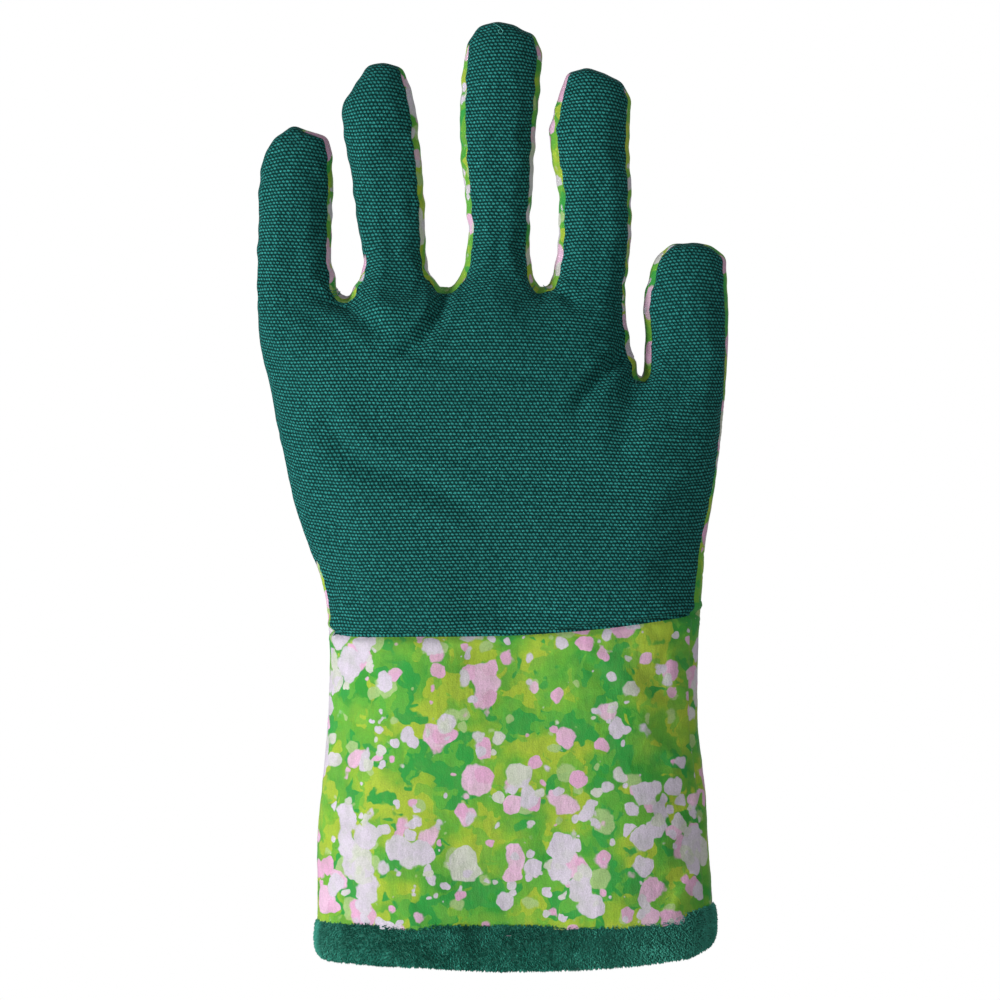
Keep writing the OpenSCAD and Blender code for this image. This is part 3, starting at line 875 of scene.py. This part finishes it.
def pile_tree():
    """Geometry nodes that stand short tapering tufts on a surface, leaning at random."""
    tree = bpy.data.node_groups.new("plush pile", "GeometryNodeTree")
    face = tree.interface
    face.new_socket("Surface", in_out="INPUT", socket_type="NodeSocketGeometry")
    for name, value in PILE.items():
        socket = face.new_socket(name, in_out="INPUT", socket_type="NodeSocketFloat")
        socket.default_value = value
    face.new_socket("Material", in_out="INPUT", socket_type="NodeSocketMaterial")
    face.new_socket("Pile", in_out="OUTPUT", socket_type="NodeSocketGeometry")

    def add(kind, inputs=(), **settings):
        return add_node(tree, kind, inputs, **settings)

    def vector(operation, a, inputs):
        return add("ShaderNodeVectorMath", {0: a.outputs[0], **inputs}, operation=operation)

    def chance(low, high, seed, kind="FLOAT"):
        sockets = (2, 3) if kind == "FLOAT" else ("Min", "Max")
        values = {sockets[0]: low, sockets[1]: high, "Seed": seed}
        return add("FunctionNodeRandomValue", values, data_type=kind)

    group = add("NodeGroupInput")
    points = add("GeometryNodeDistributePointsOnFaces", {
        "Mesh": group.outputs["Surface"], "Density": group.outputs["Tufts per square metre"],
        "Seed": 4,
    })
    place = add("GeometryNodeInputPosition")
    sweep = add("ShaderNodeTexNoise", {
        "Vector": place.outputs[0], "Scale": 150.0, "Detail": 3.0, "Roughness": 0.65,
    })
    swept = add("ShaderNodeVectorMath", {0: sweep.outputs["Color"], 1: (0.5, 0.5, 0.82)},
                operation="SUBTRACT")
    loose = chance((-0.5, -0.5, -0.5), (0.5, 0.5, 0.5), 9, "FLOAT_VECTOR")
    strong = vector("MULTIPLY", swept, {1: (3.2, 3.2, 3.2)})
    lean = vector("ADD", strong, {1: loose.outputs[0]})
    leaning = vector("SCALE", lean, {"Scale": group.outputs["Lean"]})
    upright = add("ShaderNodeVectorMath", {0: points.outputs["Normal"], 1: leaning.outputs[0]},
                  operation="ADD")
    turn = add("FunctionNodeAlignRotationToVector", {"Vector": upright.outputs[0]}, axis="Z")
    tuft = add("GeometryNodeMeshCone", {
        "Vertices": 3, "Side Segments": 1, "Radius Top": 0.0,
        "Radius Bottom": group.outputs["Width"], "Depth": group.outputs["Length"],
    }, fill_type="NONE")
    size = chance(0.65, 1.15, 2)
    stand = add("GeometryNodeInstanceOnPoints", {
        "Points": points.outputs["Points"], "Instance": tuft.outputs["Mesh"],
        "Rotation": turn.outputs[0], "Scale": size.outputs[1],
    })
    shade = chance(0.0, 1.0, 6)
    tinted = add("GeometryNodeStoreNamedAttribute", {
        "Geometry": stand.outputs[0], "Name": "shade", "Value": shade.outputs[1],
    }, data_type="FLOAT", domain="INSTANCE")
    real = add("GeometryNodeRealizeInstances", {"Geometry": tinted.outputs[0]})
    named = add("GeometryNodeSetMaterial", {
        "Geometry": real.outputs[0], "Material": group.outputs["Material"],
    })
    out = add("NodeGroupOutput")
    tree.links.new(named.outputs[0], out.inputs["Pile"])
    return tree


def make_pile(band):
    """The pile on the plush band, as one mesh of short tufts."""
    obj = linked("hem_pile", band.data.copy())
    grow = obj.modifiers.new("pile", "NODES")
    grow.node_group = pile_tree()
    sockets = {item.name: item.identifier for item in grow.node_group.interface.items_tree}
    grow[sockets["Material"]] = band.data.materials[0]
    make_plain(obj)
    add_rest(obj)
    return obj


def add_rest(obj):
    """Stores where the object's points lie now as their place at rest."""
    store_rest(obj.data, coordinates(obj.data))


def make_plain(obj):
    """Turns a mesh with modifiers into a plain mesh."""
    evaluated = obj.evaluated_get(bpy.context.evaluated_depsgraph_get())
    mesh = bpy.data.meshes.new_from_object(evaluated)
    obj.modifiers.clear()
    obj.data = mesh


# Loose thread ends: name, body, and points across, up and above the cloth, in millimetres.
LOOSE_THREADS = [
    ("curl", "middle_upper", [
        (-6.6, 277.9, 0.1), (-5.4, 277.0, 0.5), (-4.2, 275.9, 0.8), (-3.9, 275.0, 0.7),
        (-4.6, 274.6, 0.5), (-5.2, 275.2, 0.4), (-4.6, 276.0, 0.5),
    ]),
    ("fray_a", "hand", [(-54.6, 199.4, 0.1), (-53.4, 199.3, 0.3), (-52.4, 199.9, 0.5)]),
    ("fray_b", "hand", [(-54.0, 198.3, 0.1), (-52.7, 198.7, 0.4), (-51.6, 198.3, 0.6)]),
    ("fray_c", "hand", [(-53.4, 197.7, 0.1), (-52.3, 198.1, 0.4), (-51.7, 199.2, 0.7)]),
    ("end_a", "hand", [(4.9, 199.4, 0.1), (5.1, 200.2, 0.4), (5.7, 200.9, 0.6)]),
    ("end_b", "hand", [(8.9, 199.3, 0.1), (8.6, 200.2, 0.4), (8.0, 200.9, 0.6)]),
    ("end_c", "hand", [(35.3, 171.2, 0.1), (35.0, 172.2, 0.4), (35.2, 173.1, 0.6)]),
]
THREAD_RADIUS = 0.13


def make_threads(glove, thread):
    """Short thread ends that stand off the canvas at the crotches and on the longest fingertip."""
    palm = glove.points[glove.points[:, 1] < PALM_SIDE]
    for name, body, line in LOOSE_THREADS:
        curve = bpy.data.curves.new("thread " + name, "CURVE")
        curve.dimensions = "3D"
        curve.bevel_depth = THREAD_RADIUS * MM
        curve.bevel_resolution = 1
        curve.use_fill_caps = True
        spline = curve.splines.new("POLY")
        route = smooth_path(line, 0.15)
        spline.points.add(len(route) - 1)
        for point, (x, z, above) in zip(spline.points, route):
            cloth = palm[np.argmin((palm[:, 0] - x) ** 2 + (palm[:, 2] - z) ** 2)]
            point.co = (x * MM, (cloth[1] - above) * MM, z * MM, 1)
        drawn = linked("drawn", curve)
        bpy.context.view_layer.update()
        evaluated = drawn.evaluated_get(bpy.context.evaluated_depsgraph_get())
        mesh = bpy.data.meshes.new_from_object(evaluated)
        bpy.data.objects.remove(drawn)
        obj = linked("thread_" + name, mesh)
        mesh.materials.clear()
        mesh.materials.append(thread)
        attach(obj, body)


# ---- Materials ----

class Nodes:
    """A short way of writing a material's nodes."""

    SOCKETS = {
        "base": "Base Color", "normal": "Normal", "roughness": "Roughness",
        "specular": "Specular IOR Level", "sheen": "Sheen Weight",
        "sheen_roughness": "Sheen Roughness", "sheen_tint": "Sheen Tint",
    }

    def __init__(self, name):
        self.material = bpy.data.materials.new(name)
        self.material.use_nodes = True
        self.tree = self.material.node_tree

    def add(self, kind, inputs=(), **settings):
        return add_node(self.tree, "ShaderNode" + kind, inputs, **settings)

    def surface(self, **values):
        """Gives the shader's sockets their links and values, and returns the material."""
        shader = self.tree.nodes["Principled BSDF"]
        for name, value in values.items():
            put(self.tree, shader.inputs[self.SOCKETS[name]], value)
        return self.material

    def math(self, operation, a, b=0.0, c=0.0):
        return self.add("Math", {0: a, 1: b, 2: c}, operation=operation).outputs[0]

    def vector(self, operation, a, b=(0, 0, 0)):
        return self.add("VectorMath", {0: a, 1: b}, operation=operation).outputs[0]

    def scaled(self, vector, scale):
        return self.add("VectorMath", {0: vector, "Scale": scale}, operation="SCALE").outputs[0]

    def rest(self):
        return self.add("Attribute", attribute_name="rest").outputs["Vector"]

    def noise(self, vector, scale, detail=2.0, rough=0.5, distortion=0.0):
        return self.add("TexNoise", {
            "Vector": vector, "Scale": scale, "Detail": detail, "Roughness": rough,
            "Distortion": distortion,
        })

    def value(self, source):
        """The value of a noise, or the socket itself."""
        return source.outputs[0] if isinstance(source, bpy.types.Node) else source

    def shifted(self, place, noise, most):
        """The place, moved a little every way by a noise."""
        push = self.vector("SUBTRACT", noise.outputs["Color"], (0.5, 0.5, 0.5))
        return self.vector("ADD", place, self.scaled(push, most))

    def spread(self, source, low, high, to_low=0.0, to_high=1.0, smooth=True):
        """The source's values from low to high, spread over another range."""
        values = {0: self.value(source), 1: low, 2: high, 3: to_low, 4: to_high}
        kind = "SMOOTHSTEP" if smooth else "LINEAR"
        return self.add("MapRange", values, interpolation_type=kind).outputs[0]

    def mix(self, share, a, b):
        return self.add("Mix", {0: share, 6: a, 7: b}, data_type="RGBA").outputs[2]

    def ramp(self, value, stops):
        node = self.add("ValToRGB", {0: value})
        ramp = node.color_ramp
        while len(ramp.elements) < len(stops):
            ramp.elements.new(0.5)
        for element, (place, colour) in zip(ramp.elements, stops):
            element.position = place
            element.color = colour
        return node.outputs[0]

    def bump(self, height, distance):
        values = {"Height": height, "Distance": distance, "Strength": 1.0}
        return self.add("Bump", values).outputs[0]


def colour(red, green, blue):
    """A linear colour from a screen colour of 0 to 255."""
    def linear(value):
        value /= 255
        return value / 12.92 if value <= 0.04045 else ((value + 0.055) / 1.055) ** 2.4
    return (linear(red), linear(green), linear(blue), 1.0)


# The canvas's slubs, in metres: distance along a row and between rows, half length and half
# height of one. A row slips sideways by SLUB_SLIP columns per metre, and a slub leans.
SLUB_ACROSS, SLUB_UP = 0.00119, 0.00098
SLUB_LONG, SLUB_HIGH = 0.00054, 0.00040
SLUB_SLIP, SLUB_SLANT = 59.0, 0.20


def canvas_material():
    """Coarse teal canvas: rows of pale, slightly slanting weft slubs over dark gaps."""
    m = Nodes("teal canvas")
    weave = m.add("UVMap", uv_map="weave").outputs[0]
    moved = m.shifted(weave, m.noise(weave, 300.0, 2.0), 0.00045)
    split = m.add("SeparateXYZ", {0: moved})
    row = m.math("DIVIDE", split.outputs[1], SLUB_UP)
    number = m.math("FLOOR", row)
    in_row = m.math("SUBTRACT", m.math("SUBTRACT", row, number), 0.5)
    column = m.math("MULTIPLY", number, 0.5)
    column = m.math("MULTIPLY_ADD", split.outputs[0], 1 / SLUB_ACROSS, column)
    column = m.math("MULTIPLY_ADD", split.outputs[1], SLUB_SLIP, column)
    column = m.math("MULTIPLY_ADD", in_row, SLUB_SLANT, column)
    beside = m.math("SUBTRACT", m.math("FRACT", column), 0.5)
    across = m.math("MULTIPLY", beside, SLUB_ACROSS / SLUB_LONG)
    up = m.math("MULTIPLY", in_row, SLUB_UP / SLUB_HIGH)
    away = m.math("SQRT", m.math("MULTIPLY_ADD", across, across, m.math("MULTIPLY", up, up)))
    uneven = m.noise(m.vector("MULTIPLY", weave, (700, 1000, 0)), 1.0, 2.0, 0.6)
    lift = m.spread(uneven, 0.25, 0.75, -0.16, 0.16, smooth=False)
    slub = m.spread(m.math("SUBTRACT", away, lift), 1.22, 0.47)
    fibre = m.noise(m.vector("MULTIPLY", weave, (1.0, 2.2, 0)), 3000.0, 3.0, 0.7)
    wide = m.noise(m.rest(), 28.0, 3.0, 0.55)
    pale = m.mix(m.spread(uneven, 0.3, 0.7), colour(14, 96, 92), colour(46, 136, 130))
    pale = m.mix(m.spread(fibre, 0.3, 0.75, 0.0, 0.45), pale, colour(66, 156, 150))
    base = m.mix(slub, colour(2, 39, 36), pale)
    base = m.mix(m.spread(wide, 0.3, 0.75, 0.0, 0.2), base, colour(4, 58, 56))
    height = m.math("ADD", slub, m.math("MULTIPLY", m.value(fibre), 0.2))
    return m.surface(
        base=base, normal=m.bump(height, 0.00035), roughness=0.9, specular=0.08, sheen=0.03,
        sheen_roughness=0.5, sheen_tint=(0.2, 0.9, 0.85, 1),
    )


def thread_material():
    """Loose thread ends of the canvas."""
    m = Nodes("loose thread")
    twist = m.noise(m.add("TexCoord").outputs["Object"], 4000.0, 2.0, 0.6)
    base = m.mix(m.spread(twist, 0.35, 0.65), colour(20, 92, 86), colour(78, 156, 148))
    return m.surface(base=base, roughness=0.9)


# The print's splashes: cells per metre, size of the smallest and of the largest, offset of the
# pattern, and how much neighbours run together.
PALE_SPLASHES = [
    (150.0, -0.2, 0.42, (4.3, 2.6, 1.2), 0.0), (95.0, -0.35, 0.40, (5.1, 0.3, 3.3), 0.0),
]
PINK_SPLASHES = [
    (84.0, 0.10, 0.46, (1.9, 5.6, 0.2), 0.45), (150.0, -0.04, 0.44, (3.7, 1.2, 5.1), 0.45),
]
WHITE_SPLASHES = [
    (82.0, 0.10, 0.44, (0.4, 0.1, 0.7), 0.45), (124.0, 0.06, 0.46, (1.3, 0.6, 0.2), 0.45),
    (210.0, -0.16, 0.42, (2.1, 1.6, 0.9), 0.0),
]


def splashes(m, place, row, crowding):
    """Round splashes of paint at random places: how much, and a random number for each."""
    scale, low, high, offset, merging = row
    moved = m.vector("ADD", place, offset)
    cell = m.add("TexVoronoi", {"Vector": moved, "Scale": scale, "Randomness": 0.9},
                 feature="SMOOTH_F1" if merging else "F1")
    if merging:
        cell.inputs["Smoothness"].default_value = merging
    chance = m.add("SeparateColor", {0: cell.outputs["Color"]})
    size = m.spread(chance.outputs[0], 0.0, 1.0, low, high, smooth=False)
    size = m.math("ADD", size, crowding)
    amount = m.spread(m.math("SUBTRACT", size, cell.outputs["Distance"]), 0.0, 0.05)
    return amount, chance.outputs[1]


def crowd(m, place, scale, offset, low, high):
    """Where splashes gather: a slow field that makes them larger or leaves them out."""
    field = m.noise(m.vector("ADD", place, offset), scale, 2.0, 0.5)
    return m.spread(field, 0.38, 0.62, low, high, smooth=False)


def printed(m, place, paint, rows, crowding, tint, other_tint, share):
    """The paint with splashes over it, each of them in its own mixture of two tints."""
    for row in rows:
        amount, choice = splashes(m, place, row, crowding)
        paint = m.mix(amount, paint, m.mix(m.spread(choice, *share), tint, other_tint))
    return paint


def velour_material():
    """Short velour printed with splashes of white, pink and pale green over mottled greens."""
    m = Nodes("printed velour")
    rest = m.rest()
    place = m.shifted(rest, m.noise(rest, 230.0, 2.0, 0.5), 0.0034)
    green = m.ramp(m.value(m.noise(place, 52.0, 2.5, 0.6, 0.3)), [
        (0.38, colour(52, 146, 52)), (0.43, colour(84, 158, 54)), (0.50, colour(104, 164, 52)),
        (0.56, colour(140, 176, 52)), (0.62, colour(160, 182, 56)),
    ])
    patch = m.noise(m.vector("ADD", place, (3, 1, 2)), 88.0, 2.0, 0.55, 0.5)
    green = m.mix(m.spread(patch, 0.565, 0.585), green, colour(46, 148, 62))
    green = m.mix(m.spread(patch, 0.425, 0.405), green, colour(154, 178, 54))
    streak = m.noise(m.vector("ADD", place, (8, 4, 1)), 150.0, 2.0, 0.55, 0.5)
    paint = m.mix(m.spread(streak, 0.56, 0.58, 0.0, 0.7), green, colour(96, 168, 58))
    for row in PALE_SPLASHES:
        amount, _ = splashes(m, place, row, 0.0)
        paint = m.mix(m.math("MULTIPLY", amount, 0.85), paint, colour(160, 186, 124))
    pinks = crowd(m, place, 46.0, (2, 6, 4), -0.18, 0.16)
    paint = printed(m, place, paint, PINK_SPLASHES, pinks, colour(212, 160, 194),
                    colour(214, 176, 202), (0.2, 0.9))
    whites = crowd(m, place, 44.0, (7, 2, 5), -0.2, 0.2)
    paint = printed(m, place, paint, WHITE_SPLASHES, whites, colour(200, 190, 206),
                    colour(192, 200, 174), (0.5, 1.0, 0.0, 0.7))
    wash = m.noise(place, 200.0, 3.0, 0.6)
    paint = m.mix(m.spread(wash, 0.4, 0.7, 0.0, 0.16), paint, colour(120, 160, 70))
    nap = m.noise(rest, 2400.0, 3.0, 0.7)
    lie = m.noise(m.vector("MULTIPLY", rest, (1, 1, 0.35)), 420.0, 3.0, 0.6)
    paint = m.mix(m.spread(nap, 0.3, 0.7, 0.22, 0.0), paint, colour(60, 84, 50))
    paint = m.mix(m.spread(lie, 0.3, 0.6, 0.14, 0.0), paint, colour(70, 90, 60))
    height = m.math("ADD", m.value(nap), m.math("MULTIPLY", m.value(lie), 2.0))
    return m.surface(
        base=paint, normal=m.bump(height, 0.00016), roughness=0.92, specular=0.12, sheen=0.12,
        sheen_roughness=0.4,
    )


def plush_material():
    """Dark green plush with streaked clumps, paler where the pile opens."""
    m = Nodes("plush binding")
    place = m.rest()
    clump = m.noise(m.vector("MULTIPLY", place, (1.0, 1.0, 2.2)), 300.0, 4.0, 0.7, 0.5)
    fibre = m.noise(m.vector("MULTIPLY", place, (1.0, 1.0, 0.5)), 2200.0, 2.0, 0.6)
    wide = m.noise(place, 60.0, 2.0)
    base = m.ramp(m.value(clump), [
        (0.28, colour(10, 52, 44)), (0.5, colour(24, 80, 67)), (0.72, colour(46, 112, 97)),
    ])
    base = m.mix(m.spread(fibre, 0.3, 0.75, 0.0, 0.5), base, colour(58, 126, 110))
    base = m.mix(m.spread(wide, 0.4, 0.7, 0.0, 0.3), base, colour(14, 60, 50))
    height = m.math("ADD", m.value(clump), m.math("MULTIPLY", m.value(fibre), 0.5))
    return m.surface(
        base=base, normal=m.bump(height, 0.0006), roughness=0.95, specular=0.15, sheen=0.35,
        sheen_roughness=0.35, sheen_tint=(0.5, 0.95, 0.8, 1),
    )


def pile_material():
    """The tufts of the plush: dark, with paler ones in clumps, and painted light that pales them
    towards both ends of the band.
    """
    m = Nodes("plush pile")
    place = m.rest()
    clump = m.noise(place, 240.0, 3.0, 0.65, 0.4)
    shade = m.add("Attribute", attribute_name="shade").outputs["Fac"]
    mixed = m.math("ADD", m.math("MULTIPLY", m.value(clump), 0.75), m.math("MULTIPLY", shade, 0.25))
    base = m.ramp(mixed, [
        (0.3, colour(14, 76, 63)), (0.5, colour(32, 107, 91)), (0.7, colour(60, 144, 126)),
    ])
    side = m.add("SeparateXYZ", {0: place}).outputs[0]
    # Painted light: the tufts are made paler towards both ends of the band, standing in for light
    # falling there.
    painted_light_at_ends = m.math("MAXIMUM", m.spread(side, -0.048, -0.062), m.spread(side, 0.0, 0.066))
    base = m.mix(m.math("MULTIPLY", painted_light_at_ends, 0.5), base, colour(74, 158, 140))
    return m.surface(
        base=base, roughness=0.9, specular=0.12, sheen=0.2, sheen_roughness=0.35,
        sheen_tint=(0.4, 0.95, 0.8, 1),
    )


# Ribs of the lining's twill, as radians per metre across and up.
TWILL = (5200.0, 7800.0)


def lining_material():
    """Cream cotton lining with a fine twill."""
    m = Nodes("lining cloth")
    place = m.rest()
    split = m.add("SeparateXYZ", {0: place})
    across, up = (m.math("MULTIPLY", split.outputs[k], rate) for k, rate in zip((0, 2), TWILL))
    twill = m.spread(m.math("SINE", m.math("ADD", across, up)), -0.6, 0.8)
    wide = m.noise(place, 45.0, 3.0)
    base = m.mix(twill, colour(196, 200, 184), colour(226, 228, 214))
    base = m.mix(m.spread(wide, 0.35, 0.7, 0.0, 0.3), base, colour(205, 205, 188))
    return m.surface(base=base, normal=m.bump(twill, 0.00008), roughness=0.92, sheen=0.15)


# ---- Camera, light and floor ----

def point_at(obj, target):
    obj.rotation_euler = (Vector(target) - obj.location).to_track_quat("-Z", "Y").to_euler()


CENTRE = (-0.0047, 0.0, 0.1378)
CAMERA_AWAY = 1.5
# The floor's half width and how far it is below the cuff's mouth, in millimetres.
FLOOR_HALF, FLOOR_BELOW = 2500, 300


def make_camera():
    camera = bpy.data.cameras.new("camera")
    camera.sensor_width = 36
    camera.lens = 183.4
    camera.clip_start, camera.clip_end = 0.05, 20
    obj = linked("camera", camera)
    obj.location = (CENTRE[0], -CAMERA_AWAY, CENTRE[2])
    point_at(obj, CENTRE)
    bpy.context.scene.camera = obj


def area_light(name, place, size, power):
    light = bpy.data.lights.new(name, "AREA")
    light.shape = "DISK"
    light.size = size
    light.energy = power
    obj = linked(name, light)
    obj.location = place
    point_at(obj, CENTRE)


def make_studio():
    """Soft light from the left and a little below, a white surround and a pale floor."""
    area_light("key light", (-1.35, -0.95, 0.0), 0.6, 31)
    area_light("fill light", (0.9, -1.4, 0.3), 1.0, 4.5)
    area_light("back light", (0.3, 1.5, 0.7), 1.0, 8)
    world = bpy.data.worlds.new("studio")
    bpy.context.scene.world = world
    world.use_nodes = True
    tree = world.node_tree
    soft = tree.nodes["Background"]
    soft.inputs[0].default_value = (1, 1, 1, 1)
    soft.inputs[1].default_value = 0.3
    seen = add_node(tree, "ShaderNodeBackground", {0: (1, 1, 1, 1), 1: 1.0})
    ray = add_node(tree, "ShaderNodeLightPath")
    choose = add_node(tree, "ShaderNodeMixShader", {
        0: ray.outputs["Is Camera Ray"], 1: soft.outputs[0], 2: seen.outputs[0],
    })
    tree.links.new(choose.outputs[0], tree.nodes["World Output"].inputs[0])
    bpy.context.scene.view_settings.view_transform = "Standard"
    corners = [(FLOOR_HALF * x, FLOOR_HALF * y, -FLOOR_BELOW)
               for x, y in ((-1, -1), (1, -1), (1, 1), (-1, 1))]
    floor = new_object("floor", corners, [[0, 1, 2, 3]])
    pale = Nodes("pale floor")
    floor.data.materials.append(pale.surface(base=(0.8, 0.8, 0.8, 1), roughness=0.9))


def main():
    glove = Glove()
    make_outer_cloth(glove, canvas_material(), velour_material())
    make_lining(glove, lining_material())
    make_hem(glove, plush_material(), pile_material())
    make_threads(glove, thread_material())
    make_camera()
    make_studio()


main()
